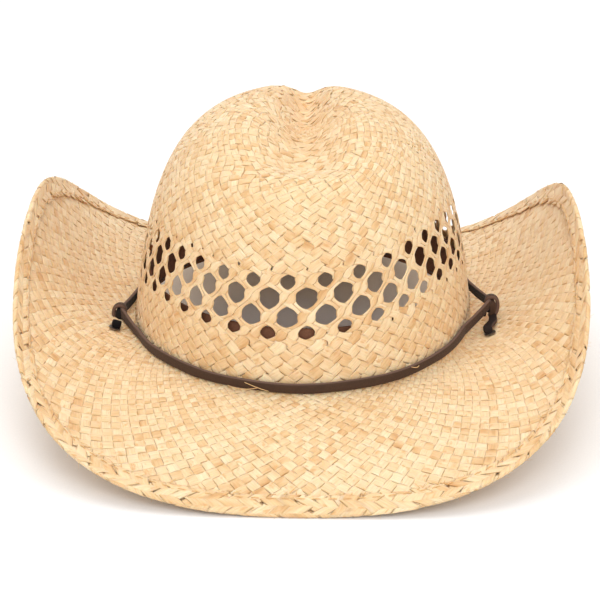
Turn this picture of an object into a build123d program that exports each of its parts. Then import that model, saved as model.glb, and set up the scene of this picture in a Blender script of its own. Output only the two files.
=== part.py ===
from build123d import *
import os
from math import copysign, cos, exp, hypot, pi, radians, sin, tanh

# A straw cowboy hat lying the right way up, in millimetres.  +Z is up, the front of the hat faces -Y, and
# the floor plane z = 0 touches the lowest points of the front and rear of the brim.

# Driving dimensions
HEAD_HALF_WIDTH = 88.0        # outside of the crown where it meets the brim, along X
HEAD_HALF_LENGTH = 103.0      # the same along Y
CROWN_HEIGHT = 116.0          # above the crown and brim junction, before the crease
CROWN_SQUARENESS = 3.3        # superellipse exponent of the crown's profile
CROWN_TAPER_X = 13.3          # how much narrower the half width gets towards the top
CROWN_TAPER_Y = 14.8          # how much shorter the half length gets towards the top
CREASE_DEPTH = 17.8           # depth of the crease in the crown
CREASE_WIDTH = 14.7           # half width of the crease in the middle
CREASE_NARROWING = 0.144      # how fast it narrows towards the rear
CREASE_FRONT = -60.0          # where the crease fades out at the front
CREASE_REAR = 50.0            # where it fades out at the rear
CREASE_FADES = (9.0, 13.0)    # how gently it fades in at the front and out at the rear
BRIM_HALF_WIDTH = 138.2       # plan outline of the rolled brim, along X
BRIM_HALF_LENGTH = 177.0      # the same along Y
BRIM_SQUARENESS = 2.79        # superellipse exponent of the outline at the sides
BRIM_SQUARENESS_STEP = 0.32   # how much squarer it is at the front, and rounder at the rear
BRIM_EGG = 0.08               # how much narrower the rear of the outline is than the middle
BRIM_DIP = 27.6               # how far the front and rear edges hang below the junction
BRIM_RISE = 63.2              # how far the side edges stand above the junction
BRIM_RISE_LEAN = 0.32         # how much of the rise is moved from the front to the rear
BRIM_ROLL = 2.37              # exponent of the rise round the brim: larger keeps it nearer the sides
BRIM_ROOT_SLOPE = (-14.0, 12.0)   # degrees at the junction: front and rear, sides
BRIM_EDGE_SLOPE = (-34.0, 77.0)   # degrees at the edge: front and rear, sides
BRIM_SLOPE_BLEND = 1.64       # exponent of the change between those slopes
BRIM_FULLNESS = 0.35          # length of the section's handles, as a share of its chord
STRAW_THICK = 1.7             # two crossing layers of flat raffia
BASE_Z = 28.61                # height of the junction plane above the floor
HEM_WIDTH = 11.0              # folded edge of the brim
HEM_LAYER = 0.9               # thickness of the folded layer
HEM_NOSE = 3.4                # the fold in front of the brim's own edge, which holds the wire
WIRE_RADIUS = 0.7
SWEATBAND_HEIGHT = 30.0
SWEATBAND_THICK = 1.2
SWEATBAND_LEAN = 2.0          # how far the top edge stands in from the crown
SWEATBAND_STITCHES = 96
SWEATBAND_STITCH_SIZE = (3.4, 0.6, 0.4)
SEAM_TAB_SIZE = (12.0, 18.0, 0.6)
SEAM_TAB_HEIGHT = 17.0        # middle of the tab above the junction plane
LABEL_SIZE = (20.0, 14.0, 0.4)
LABEL_HEIGHT = 13.0
LABEL_TURN = 0.35             # radians round from the seam tab
HEM_STITCHES = 150
HEM_STITCH_SIZE = (3.2, 0.7, 0.4)
HEM_STITCH_MARGIN = 1.6       # from the inner edge of the hem
FIT_GAP = 0.25                # clearance between laid-on pieces and the straw
LACE_HEIGHT = 4.8
LACE_THICK = 1.9
LACE_LIFT = 1.5               # underside of the lace above the junction plane at the front and rear
LACE_SIDE_LIFT = 4.0          # extra height of the lace at the side knots
KNOT_Y = -13.0                # the side knots sit a little in front of the middle
KNOT_OUT = 6.6                # knot centre outside the crown
KNOT_RISE = 8.6               # knot centre above the junction plane
KNOT_LOOP_RADIUS = 4.1
KNOT_CORD_RADIUS = 1.75
EYELET_Y = -32.0
EYELET_OUT = 11.5             # eyelet centre outside the crown, measured in plan
EYELET_FLANGE_RADIUS = 3.0
EYELET_BARREL_RADIUS = 1.95
EYELET_BORE_RADIUS = 1.5
EYELET_FLANGE_THICK = 0.45
TIE_RADIUS = 1.25
STOPPER_RADIUS = 2.9
VENT_COUNT = 32               # openings in each row
VENT_ROWS = ((53.8, 3.6, 0.5), (46.0, 5.2, 0.0), (37.0, 4.8, 0.5), (29.8, 3.0, 0.0))
#            height above the junction at the front, radius, stagger
VENT_TURN = 0.033             # radians from the front to the first vent of an unstaggered row
VENT_CROWDING = 0.15          # how much closer together and smaller the vents are beside the front
VENT_CORNER_RISE = 7.75       # how much higher the rows run at the front corners
VENT_CORNER_RATE = 1.6        # how soon the corners are reached: larger is nearer the front
VENT_TILT = 5.85              # how much higher the rows run at the right side, and lower at the left
VENT_DRILL_LENGTH = 10.0

SECTION_STEPS = 20            # sections in half of the brim
RING_POINTS = 28              # points in one ring of the crown
WIRE_SIDES = 10               # sides of the wire's section
BAND_END_GAP = 0.05           # radians between a lace's end and its knot
LACE_STEPS = 24               # sections in one length of lace
SEAT_GAP = 0.06               # between the hem and the straw that it wraps


def smooth(value):
    """Smooth step from 0 to 1."""
    value = min(max(value, 0.0), 1.0)
    return value * value * (3.0 - 2.0 * value)


def oval_radius(angle, half_x, half_y, power=2.0):
    """Plan radius of a superellipse at a polar angle."""
    return ((abs(cos(angle)) / half_x) ** power + (abs(sin(angle)) / half_y) ** power) ** (-1.0 / power)


# ---------------------------------------------------------------- surface of the crown

def crease(x, y):
    """Depth of the teardrop crease, wide in front and narrow behind."""
    width = CREASE_WIDTH - CREASE_NARROWING * y
    front, rear = CREASE_FADES
    along = 0.5 * (tanh((y - CREASE_FRONT) / front) - tanh((y - CREASE_REAR) / rear))
    return CREASE_DEPTH * along * exp(-((x / width) ** 2))


def crown_point(t, angle):
    """Outside of the crown: t = 0 at the junction, 1 at the middle of the top."""
    rise = sin(t * pi / 2) ** (2.0 / CROWN_SQUARENESS)
    shrink = abs(cos(t * pi / 2)) ** (2.0 / CROWN_SQUARENESS)
    half_x = HEAD_HALF_WIDTH - CROWN_TAPER_X * rise
    half_y = HEAD_HALF_LENGTH - CROWN_TAPER_Y * rise
    radius = shrink * oval_radius(angle, half_x, half_y)
    x, y = radius * cos(angle), radius * sin(angle)
    z = CROWN_HEIGHT * rise - crease(x, y) * smooth((rise - 0.45) / 0.45)
    return Vector(x, y, BASE_Z + z)


def crown_normal(t, angle):
    """Outward normal, from differences along the surface."""
    step = 1e-3
    around = crown_point(t, angle + step) - crown_point(t, angle - step)
    up = crown_point(min(t + step, 0.999), angle) - crown_point(max(t - step, 0.0005), angle)
    return around.cross(up).normalized()


def crown_t_at(share):
    """The parameter t at which the crown has risen by a share of its height."""
    low, high = 0.0, 1.0
    for _ in range(40):
        middle = (low + high) / 2
        if sin(middle * pi / 2) ** (2.0 / CROWN_SQUARENESS) < share:
            low = middle
        else:
            high = middle
    return low


def wall_radius(angle, height, inset=0.0):
    """Plan radius of the lower crown wall at a height above the junction plane."""
    t = crown_t_at(max(height, 0.0) / CROWN_HEIGHT)
    point = crown_point(t, angle)
    return hypot(point.X, point.Y) - inset


# ---------------------------------------------------------------- surface of the brim

def brim_section(angle):
    """Control points of the brim's upper surface in the vertical plane at this angle, as (out, up)."""
    start = Vector(oval_radius(angle, HEAD_HALF_WIDTH, HEAD_HALF_LENGTH), BASE_Z)
    side = abs(cos(angle)) ** BRIM_ROLL
    half_width = BRIM_HALF_WIDTH * (1.0 - BRIM_EGG * sin(angle))
    squareness = BRIM_SQUARENESS - BRIM_SQUARENESS_STEP * sin(angle)
    reach = oval_radius(angle, half_width, BRIM_HALF_LENGTH, squareness)
    rise = BRIM_RISE * (1.0 + BRIM_RISE_LEAN * sin(angle))
    end = Vector(reach, BASE_Z - BRIM_DIP + (rise + BRIM_DIP) * side)
    weight = abs(cos(angle)) ** BRIM_SLOPE_BLEND
    root = radians(BRIM_ROOT_SLOPE[0] * (1 - weight) + BRIM_ROOT_SLOPE[1] * weight)
    edge = radians(BRIM_EDGE_SLOPE[0] * (1 - weight) + BRIM_EDGE_SLOPE[1] * weight)
    handle = BRIM_FULLNESS * (end - start).length
    second = start + Vector(cos(root), sin(root)) * handle
    third = end - Vector(cos(edge), sin(edge)) * handle
    return [start, second, third, end]


def bezier(points, u):
    """Point of a cubic Bezier curve."""
    a, b, c, d = points
    return a * (1 - u) ** 3 + b * 3 * u * (1 - u) ** 2 + c * 3 * u * u * (1 - u) + d * u ** 3


def offset_curve(points, depth):
    """The same curve moved away from its upper side by a depth, with its handles scaled to match."""
    first = (points[1] - points[0]).normalized()
    last = (points[3] - points[2]).normalized()
    start = points[0] + Vector(first.Y, -first.X) * depth
    end = points[3] + Vector(last.Y, -last.X) * depth
    scale = (end - start).length / (points[3] - points[0]).length
    handle = (points[1] - points[0]).length * scale
    return [start, start + first * handle, end - last * handle, end]


def cut_curve(points, u0, u1):
    """The part of a cubic Bezier curve between two parameters, as a new cubic."""
    def slope(u):
        a, b, c, d = points
        return (b - a) * 3 * (1 - u) ** 2 + (c - b) * 6 * u * (1 - u) + (d - c) * 3 * u * u
    third = (u1 - u0) / 3.0
    start, end = bezier(points, u0), bezier(points, u1)
    return [start, start + slope(u0) * third, end - slope(u1) * third, end]


def u_from_edge(points, distance):
    """Parameter of the point that lies a distance back from the curve's end."""
    steps, travelled, last = 400, 0.0, points[3]
    for i in range(1, steps + 1):
        here = bezier(points, 1 - i / steps)
        travelled += (here - last).length
        last = here
        if travelled >= distance:
            return 1 - i / steps
    return 0.0


def place(point, angle):
    """From (out, up) in the plane at this angle to the hat's frame."""
    return Vector(point.X * cos(angle), point.X * sin(angle), point.Y)


def curve_edge(points, angle):
    return Edge.make_bezier(*[place(p, angle) for p in points])


def line_edge(a, b, angle):
    return Edge.make_line(place(a, angle), place(b, angle))


def half_angles(steps=SECTION_STEPS):
    """Angles of the sections from the front middle round one side to the rear middle."""
    return [-pi / 2 + pi * i / steps for i in range(steps + 1)]


def both_halves(half):
    """Join a half of the brim with its mirror image across the middle plane."""
    whole = half + mirror(half, about=Plane.YZ)
    return whole.solids()[0]


def brim_wire_loop(angle):
    """Closed outline of the straw brim in the plane at this angle, up to the fold of the hem."""
    top = brim_section(angle)
    bottom = offset_curve(top, STRAW_THICK)
    stop = u_from_edge(top, HEM_NOSE)
    top = cut_curve(top, 0.0, stop)
    bottom = cut_curve(bottom, 0.0, stop)
    foot_top = top[0] - Vector(STRAW_THICK, 0)
    foot_bottom = Vector(foot_top.X, bottom[0].Y)
    return Wire([
        curve_edge(top, angle),
        line_edge(top[3], bottom[3], angle),
        curve_edge(bottom[::-1], angle),
        line_edge(bottom[0], foot_bottom, angle),
        line_edge(foot_bottom, foot_top, angle),
        line_edge(foot_top, top[0], angle),
    ])


def make_brim():
    half = Solid.make_loft([brim_wire_loop(a) for a in half_angles()])
    return both_halves(half)


def edge_frame(angle):
    """The end of the brim at this angle: point, outward direction and upper side, as (out, up)."""
    top = brim_section(angle)
    along = (top[3] - top[2]).normalized()
    return top[3], along, Vector(-along.Y, along.X)


def hem_loop(angle):
    """Closed outline of the hem: a layer on the upper side and a nose that holds the wire."""
    top = brim_section(angle)
    lifted = offset_curve(top, -HEM_LAYER)
    inner, stop = u_from_edge(top, HEM_WIDTH), u_from_edge(top, HEM_NOSE - 2 * SEAT_GAP)
    lower = offset_curve(top, STRAW_THICK)
    under = cut_curve(offset_curve(top, -SEAT_GAP), inner, stop)
    over = cut_curve(lifted, inner, 1.0)
    below = bezier(lower, stop)
    end, along, up = edge_frame(angle)
    nose_low = end - up * STRAW_THICK
    return Wire([
        curve_edge(under, angle),
        line_edge(under[3], below, angle),
        line_edge(below, nose_low - along * 0.9, angle),
        line_edge(nose_low - along * 0.9, end - up * 0.5 + along * 0.3, angle),
        line_edge(end - up * 0.5 + along * 0.3, over[3], angle),
        curve_edge(over[::-1], angle),
        line_edge(over[0], under[0], angle),
    ])


def wire_outline(angle, radius):
    """Section of the wire inside the nose of the hem."""
    end, along, up = edge_frame(angle)
    centre = end - along * 1.5 - up * 0.55
    turns = [2 * pi * i / WIRE_SIDES for i in range(WIRE_SIDES)]
    corners = [centre + Vector(cos(turn), sin(turn)) * radius for turn in turns]
    sides = [line_edge(corners[i - 1], corners[i], angle) for i in range(WIRE_SIDES)]
    return Wire(sides)


def half_wire(radius):
    return Solid.make_loft([wire_outline(a, radius) for a in half_angles()])


def make_hem():
    half = Solid.make_loft([hem_loop(a) for a in half_angles()])
    half = half - half_wire(WIRE_RADIUS + 0.1)
    return both_halves(half)


def make_edge_wire():
    return both_halves(half_wire(WIRE_RADIUS))


# ---------------------------------------------------------------- crown

def ring(t, inset):
    """Closed ring of the crown, set in from its outside."""
    points = []
    for i in range(RING_POINTS):
        angle = 2 * pi * i / RING_POINTS
        points.append(crown_point(t, angle) - crown_normal(t, angle) * inset)
    return Wire(Edge.make_spline(points, periodic=True))


def base_ring(inset, drop):
    """Flat ring at the junction plane, lowered by a drop."""
    points = []
    for i in range(RING_POINTS):
        angle = 2 * pi * i / RING_POINTS
        radius = oval_radius(angle, HEAD_HALF_WIDTH, HEAD_HALF_LENGTH) - inset
        points.append(Vector(radius * cos(angle), radius * sin(angle), BASE_Z - drop))
    return Wire(Edge.make_spline(points, periodic=True))


def dome(inset, drop):
    """Solid under the crown's surface, set in by the wall thickness."""
    levels = [0.03, 0.12, 0.25, 0.4, 0.55, 0.68, 0.79, 0.88, 0.95, 0.985]
    apex = crown_point(0.999, 0.0) - Vector(0, 0, inset)
    rings = [base_ring(inset, drop)] + [ring(t, inset) for t in levels]
    return Solid.make_loft([*rings, Vertex(0, 0, apex.Z)])


def vent_rise(aside):
    """How much higher a row of vents runs at an angle round from the front."""
    corner = min(abs(aside) * VENT_CORNER_RATE, pi)
    return VENT_CORNER_RISE * sin(corner) ** 2 + VENT_TILT * sin(aside)


def vent_tools():
    """Radial drills for the four staggered rows of vents."""
    tools = []
    for height, radius, stagger in VENT_ROWS:
        for i in range(VENT_COUNT):
            turn = 2 * pi * (i + stagger) / VENT_COUNT - pi
            aside = VENT_TURN + turn - copysign(VENT_CROWDING * sin(turn) ** 2, turn)
            angle = aside - pi / 2
            t = crown_t_at((height + vent_rise(aside)) / CROWN_HEIGHT)
            point, normal = crown_point(t, angle), crown_normal(t, angle)
            plane = Plane(origin=point - normal * VENT_DRILL_LENGTH / 2, z_dir=normal)
            local_radius = radius * (1.0 - VENT_CROWDING * sin(2 * abs(turn)))
            tools.append(Solid.make_cylinder(local_radius, VENT_DRILL_LENGTH, plane))
    return tools


def make_crown():
    shell = dome(0.0, 0.0) - dome(STRAW_THICK, 1.0)
    return shell.cut(*vent_tools())


# ---------------------------------------------------------------- sweatband

def band_ring(height, inset, lean=0.0):
    """Flat closed ring that follows the lower crown wall at a height."""
    points = []
    for i in range(RING_POINTS):
        angle = 2 * pi * i / RING_POINTS
        radius = wall_radius(angle, height, inset + lean)
        points.append(Vector(radius * cos(angle), radius * sin(angle), BASE_Z + height))
    return Wire(Edge.make_spline(points, periodic=True))


def band_solid(inset, low, high):
    middle = (low + high) / 2
    levels = [(low, 0.0), (middle, 0.35 * SWEATBAND_LEAN), (high, SWEATBAND_LEAN)]
    return Solid.make_loft([band_ring(h, inset, lean) for h, lean in levels])


def make_sweatband():
    outside = band_solid(STRAW_THICK + FIT_GAP, 0.0, SWEATBAND_HEIGHT)
    inside = band_solid(STRAW_THICK + FIT_GAP + SWEATBAND_THICK, -1.0, SWEATBAND_HEIGHT + 1.0)
    return (outside - inside).solids()[0]


def inner_face(angle, height):
    """Point on the inner face of the sweatband and its tangent round the head."""
    share = height / SWEATBAND_HEIGHT
    inset = STRAW_THICK + FIT_GAP + SWEATBAND_THICK + SWEATBAND_LEAN * (0.4 * share + 0.6 * share * share)
    radius = wall_radius(angle, height, inset)
    return Vector(radius * cos(angle), radius * sin(angle), BASE_Z + height)


def plate_on_band(angle, height, width, tall, thick):
    """Small flat plate standing just inside the sweatband."""
    step = 0.02
    tangent = (inner_face(angle + step, height) - inner_face(angle - step, height)).normalized()
    lean = (inner_face(angle, height + 1.0) - inner_face(angle, height - 1.0)).normalized()
    inward = lean.cross(tangent).normalized()
    if inward.dot(inner_face(angle, height)) > 0:
        inward = -inward
    centre = inner_face(angle, height) + inward * (thick / 2 + 0.35)
    plane = Plane(origin=centre, x_dir=tangent, z_dir=inward)
    return plane * Box(width, tall, thick)


def make_sweatband_stitches():
    count, height = SWEATBAND_STITCHES, 2.4
    turns = [2 * pi * (i + 0.5) / count for i in range(count)]
    return [plate_on_band(turn, height, *SWEATBAND_STITCH_SIZE) for turn in turns]


# ---------------------------------------------------------------- hem stitches

def make_hem_stitches():
    """Running stitches along the inner margin of the hem."""
    stitches = []
    for i in range(HEM_STITCHES):
        angle = 2 * pi * (i + 0.5) / HEM_STITCHES
        along = [Vector(0, 0), Vector(0, 0), Vector(0, 0)]
        for k, turn in enumerate((-0.008, 0.0, 0.008)):
            lifted = offset_curve(brim_section(angle + turn), -HEM_LAYER - 0.28)
            along[k] = place(bezier(lifted, u_from_edge(lifted, HEM_WIDTH - HEM_STITCH_MARGIN)), angle + turn)
        top = brim_section(angle)
        u = u_from_edge(top, HEM_WIDTH - HEM_STITCH_MARGIN)
        back = place(bezier(top, u + 0.01), angle) - place(bezier(top, u - 0.01), angle)
        tangent = (along[2] - along[0]).normalized()
        normal = back.cross(tangent).normalized()
        plane = Plane(origin=along[1], x_dir=tangent, z_dir=normal)
        stitches.append(plane * Box(*HEM_STITCH_SIZE))
    return stitches


# ---------------------------------------------------------------- hat band

def knot_angle(sign):
    return -pi / 2 + sign * (pi / 2 + KNOT_Y / HEAD_HALF_LENGTH)


def lace_lift(angle):
    """Height of the lace's lower edge above the junction plane."""
    return LACE_LIFT + LACE_SIDE_LIFT * abs(cos(angle)) ** 6


def lace_loop(angle):
    """Rectangular section of the lace, lying against the crown wall."""
    low = lace_lift(angle)
    high = low + LACE_HEIGHT
    low_in = Vector(wall_radius(angle, low) + FIT_GAP, BASE_Z + low)
    high_in = Vector(wall_radius(angle, high) + FIT_GAP, BASE_Z + high)
    out = Vector(LACE_THICK, 0)
    corners = [low_in, low_in + out, high_in + out, high_in]
    return Wire([line_edge(corners[i], corners[(i + 1) % 4], angle) for i in range(4)])


def make_lace(start, end):
    turns = [start + (end - start) * i / LACE_STEPS for i in range(LACE_STEPS + 1)]
    return Solid.make_loft([lace_loop(turn) for turn in turns])


def knot_centre(sign):
    radius = oval_radius(0.0, HEAD_HALF_WIDTH, HEAD_HALF_LENGTH) + KNOT_OUT
    return Vector(sign * radius, KNOT_Y, BASE_Z + KNOT_RISE)


def make_knot(sign):
    """An overhand knot of lace, as two crossing loops round a core."""
    centre = knot_centre(sign)
    upright = Plane(origin=centre, x_dir=(0, 0, 1), z_dir=Vector(sign * 0.35, 1, 0.1))
    crossing = Plane(origin=centre + Vector(sign * 1.0, -1.6, -1.0), x_dir=(0, 1, 0), z_dir=(sign, 0.3, 0.4))
    loop = upright * Torus(KNOT_LOOP_RADIUS - 0.4, KNOT_CORD_RADIUS)
    second = crossing * Torus(KNOT_LOOP_RADIUS - 0.9, KNOT_CORD_RADIUS - 0.1)
    core = Pos(*centre) * Sphere(KNOT_LOOP_RADIUS - 0.8)
    return (loop + second + core).solids()[0]


# ---------------------------------------------------------------- eyelets and ties

def eyelet_plane(sign):
    """Plane on the brim's upper surface at an eyelet, its Z axis square to the brim."""
    radius = HEAD_HALF_WIDTH + EYELET_OUT
    angle = -pi / 2 + sign * (pi / 2 + EYELET_Y / radius)
    top = brim_section(angle)
    inner = top[0].X
    u = 0.0
    while bezier(top, u).X - inner < EYELET_OUT:
        u += 0.002
    here = bezier(top, u)
    ahead = (bezier(top, u + 0.01) - bezier(top, u - 0.01)).normalized()
    point, out = place(here, angle), place(here + ahead, angle) - place(here, angle)
    nearby = brim_section(angle + 0.01)
    around = place(bezier(nearby, u), angle + 0.01) - point
    normal = out.cross(around).normalized()
    if normal.Z < 0:
        normal = -normal
    return Plane(origin=point, x_dir=out, z_dir=normal)


def make_eyelet(plane):
    """Flanged tube through the brim."""
    flange = Pos(0, 0, 0.25 + EYELET_FLANGE_THICK / 2) * Cylinder(EYELET_FLANGE_RADIUS, EYELET_FLANGE_THICK)
    barrel_length = STRAW_THICK + 1.5
    barrel = Pos(0, 0, 0.6 - barrel_length / 2) * Cylinder(EYELET_BARREL_RADIUS, barrel_length)
    bore = Cylinder(EYELET_BORE_RADIUS, 12.0)
    return plane * (flange + barrel - bore)


def make_washer(plane):
    """Ring clinched on the underside."""
    height = -STRAW_THICK - 0.45
    washer = Pos(0, 0, height) * Cylinder(EYELET_FLANGE_RADIUS, 0.5)
    return plane * (washer - Cylinder(EYELET_BARREL_RADIUS + 0.02, 12.0))


def tie_top(sign):
    return knot_centre(sign) + Vector(sign * 0.2, -4.2, -3.6)


def make_tie(sign, plane):
    """Cord from the knot down through the eyelet."""
    normal = plane.z_dir
    above = plane.origin + normal * 3.2
    below = plane.origin - normal * 5.2
    route = FilletPolyline(tie_top(sign), above, below, radius=2.6)
    start = Plane(origin=route @ 0, z_dir=route % 0)
    return sweep(start * Circle(TIE_RADIUS), path=route)


def make_stopper(plane):
    """Knot in the end of the tie, under the brim."""
    ball = Pos(0, 0, -5.2 - STOPPER_RADIUS + 0.6) * Sphere(STOPPER_RADIUS)
    twist = Pos(0, 0, -5.2 - STOPPER_RADIUS + 0.4) * Rot(20, 15, 0) * Torus(2.3, 1.1)
    socket = Pos(0, 0, -5.2 + 5.0) * Cylinder(TIE_RADIUS + 0.05, 10.0)
    return (plane * (ball + twist - socket)).solids()[0]


# ---------------------------------------------------------------- assembly

def build_nodes():
    nodes = {}
    planes = {"left": eyelet_plane(-1), "right": eyelet_plane(1)}
    brim = make_brim()
    for plane in planes.values():
        brim = brim - plane * Cylinder(EYELET_BARREL_RADIUS + 0.05, 12.0)
    nodes["woven_brim"] = brim
    nodes["woven_crown"] = make_crown()
    nodes["brim_hem"] = make_hem()
    nodes["brim_wire"] = make_edge_wire()
    nodes["hem_stitching"] = Compound(children=make_hem_stitches())
    nodes["sweatband"] = make_sweatband()
    nodes["sweatband_stitching"] = Compound(children=make_sweatband_stitches())
    nodes["sweatband_seam_tab"] = plate_on_band(pi / 2, SEAM_TAB_HEIGHT, *SEAM_TAB_SIZE)
    nodes["care_label"] = plate_on_band(pi / 2 + LABEL_TURN, LABEL_HEIGHT, *LABEL_SIZE)
    right_end = knot_angle(1)
    left_end = knot_angle(-1)
    nodes["band_lace_front"] = make_lace(left_end + BAND_END_GAP, right_end - BAND_END_GAP)
    nodes["band_lace_rear"] = make_lace(right_end + BAND_END_GAP, left_end + 2 * pi - BAND_END_GAP)
    for side, sign in (("left", -1), ("right", 1)):
        plane = planes[side]
        nodes["band_knot_" + side] = make_knot(sign)
        nodes["eyelet_" + side] = make_eyelet(plane)
        nodes["eyelet_washer_" + side] = make_washer(plane)
        nodes["lace_tie_" + side] = make_tie(sign, plane)
        nodes["tie_stopper_" + side] = make_stopper(plane)
    for side in ("left", "right"):
        nodes["lace_tie_" + side] = nodes["lace_tie_" + side] - nodes["band_knot_" + side]
    return nodes


def main():
    os.makedirs("parts", exist_ok=True)
    for name, shape in build_nodes().items():
        export_step(shape, "parts/" + name + ".step")
        box = shape.bounding_box()
        print(name, [round(v, 1) for v in (*box.min, *box.max)])


main()
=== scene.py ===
import math

import bpy
import numpy as np
from mathutils import Matrix, Vector


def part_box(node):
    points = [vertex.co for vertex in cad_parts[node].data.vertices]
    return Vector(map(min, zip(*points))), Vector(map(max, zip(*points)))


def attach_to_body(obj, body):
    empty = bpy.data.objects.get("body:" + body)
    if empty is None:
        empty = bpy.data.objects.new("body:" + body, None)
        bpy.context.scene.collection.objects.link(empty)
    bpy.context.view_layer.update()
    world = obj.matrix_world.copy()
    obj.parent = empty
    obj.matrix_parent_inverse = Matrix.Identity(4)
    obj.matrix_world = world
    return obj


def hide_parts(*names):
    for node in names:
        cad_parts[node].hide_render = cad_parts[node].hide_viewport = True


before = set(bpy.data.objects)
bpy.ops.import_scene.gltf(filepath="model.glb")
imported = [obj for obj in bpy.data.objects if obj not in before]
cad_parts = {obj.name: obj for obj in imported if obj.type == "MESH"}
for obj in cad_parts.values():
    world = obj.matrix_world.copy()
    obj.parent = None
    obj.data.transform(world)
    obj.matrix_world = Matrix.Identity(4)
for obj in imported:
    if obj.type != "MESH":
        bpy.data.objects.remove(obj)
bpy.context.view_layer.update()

# A woven raffia cowboy hat. Shapes are worked out in millimetres and turned into metres in make_mesh.
MM = 0.001
BASE_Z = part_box("woven_crown")[0][2] / MM
rng = np.random.default_rng(1865)

# Driving sizes: the frame's, except for how high the lace lies
HEAD_X, HEAD_Y = 88.0, 103.0
CROWN_HEIGHT, CROWN_SQUARENESS = 116.0, 3.3
TAPER_X, TAPER_Y = 13.3, 14.8
CREASE_DEPTH, CREASE_WIDTH, CREASE_NARROWING = 17.8, 14.7, 0.144
CREASE_FRONT, CREASE_REAR, CREASE_FADES = -60.0, 50.0, (9.0, 13.0)
BRIM_X, BRIM_Y, BRIM_SQUARENESS, BRIM_SQUARENESS_STEP, BRIM_EGG = 138.2, 177.0, 2.79, 0.32, 0.08
BRIM_DIP, BRIM_RISE, BRIM_RISE_LEAN, BRIM_ROLL = 27.6, 63.2, 0.32, 2.37
ROOT_SLOPES, EDGE_SLOPES, SLOPE_BLEND, BRIM_FULLNESS = (-14.0, 12.0), (-34.0, 77.0), 1.64, 0.35
LACE_HEIGHT, LACE_THICK, LACE_LIFT, LACE_SIDE_LIFT, LACE_TILT = 4.8, 1.9, 0.9, 4.4, 3.4
KNOT_Y, KNOT_OUT, KNOT_RISE = -13.0, 6.6, 8.6
VENT_HEIGHTS = (53.8, 46.0, 37.0, 29.8)
VENT_TURN, VENT_CROWDING = 0.033, 0.15
VENT_CORNER_RISE, VENT_CORNER_RATE, VENT_TILT = 7.75, 1.6, 5.85

# The weave
CROWN_STRANDS, BRIM_STRANDS = 64, 120   # in each of the two families
WEAVE_DEPTH = 0.85                      # middle of the weave under the outer surface
WEAVE_SWING, HEM_SWING = 0.27, 0.2      # how far a strand goes over and under
WEAVE_SHIFT = 1.0                       # strands, which puts the middle of the first pair at the front
STRAND_THICK, STRAND_LEAST = 0.34, 0.2  # the second is the share of its full width at which a strand starts
STRAND_GROWTH = 15.0                    # length over which a new strand widens
STRAND_STEPS, VENT_STEPS = 8.0, 6.0     # sections in one crossing, and how many more beside the vents
GRAIN_STEP, GRAIN_JUMP = 37.0, 500.0    # shift of the grain from strand to strand and between families
LATTICE_HEIGHTS = (55.0, 46.7, 36.4, 28.5)   # rows of crossings that leave the vents at their heights
LATTICE_MARGIN = 3.5                    # how far the even rows go on above and below the vents
VENT_STEEPEN = 0.12                     # how much steeper the strands run where they cross between vents
VENT_LEAN = 0.22                        # which side of a crossing the strands spread on, for tall openings
PAIR_GAP = 0.755                        # how much the pairs are narrowed and drawn together at the vents
CROSSING_SPREAD = 0.42                  # share of that which is given back where two pairs cross
CALM = 0.15                             # how much less the strands swing where they are drawn together
SQUEEZE_ROWS = (-0.95, -0.5, 0.0, 0.7, 2.3, 3.0, 3.5, 3.9)   # rows of crossings, counted from the first
SQUEEZE = (0.0, 0.52, 0.72, 1.0, 1.0, 0.70, 0.46, 0.0)       # how far the pairs are drawn together there
HEM_WIDTH, HEM_TUCK = 11.0, 0.6         # width of the hem, and how much longer its strands are cut
FLAT_STOP, HEM_START = 4.0, 5.0         # before the edge, where flat strands stop and folded ones start
ROW_STEP = 0.5                          # rows of the surface tables
COLUMNS = 960                           # columns of the surface tables
TABLE_MARGIN = 3.0                      # how far a table goes on past the end of its surface
FRONT = -math.pi / 2


# ---------------------------------------------------------------- surfaces

def smooth(value):
    value = np.clip(value, 0.0, 1.0)
    return value * value * (3.0 - 2.0 * value)


def unit(vectors, tiny=0.0):
    return vectors / (np.linalg.norm(vectors, axis=-1, keepdims=True) + tiny)


def running_total(rate):
    """A rate added up along the rows of a table."""
    return np.concatenate([[0.0], np.cumsum(0.5 * (rate[1:] + rate[:-1]) * ROW_STEP)])


def distances(path):
    """How far along a path each of its points is."""
    return np.concatenate([[0.0], np.cumsum(np.linalg.norm(np.diff(path, axis=0), axis=1))])


def oval_radius(angle, half_x, half_y, power=2.0):
    across, along = abs(np.cos(angle)) / half_x, abs(np.sin(angle)) / half_y
    return (across ** power + along ** power) ** (-1.0 / power)



def azimuth(share):
    """Polar angle of a share of a turn from the front: the weave is closer beside the front than behind."""
    turn = 2 * math.pi * (np.mod(np.asarray(share) + 0.5, 1.0) - 0.5)
    return FRONT + VENT_TURN + turn - np.sign(turn) * VENT_CROWDING * np.sin(turn) ** 2


def vent_rise(angle):
    """How much higher the rows of vents run than at the front."""
    aside = np.mod(angle - FRONT + math.pi, 2 * math.pi) - math.pi
    corner = np.minimum(abs(aside) * VENT_CORNER_RATE, math.pi)
    return VENT_CORNER_RISE * np.sin(corner) ** 2 + VENT_TILT * np.sin(aside)


def crease(x, y):
    width = CREASE_WIDTH - CREASE_NARROWING * y
    front, rear = CREASE_FADES
    along = 0.5 * (np.tanh((y - CREASE_FRONT) / front) - np.tanh((y - CREASE_REAR) / rear))
    return CREASE_DEPTH * along * np.exp(-((x / width) ** 2))


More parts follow.
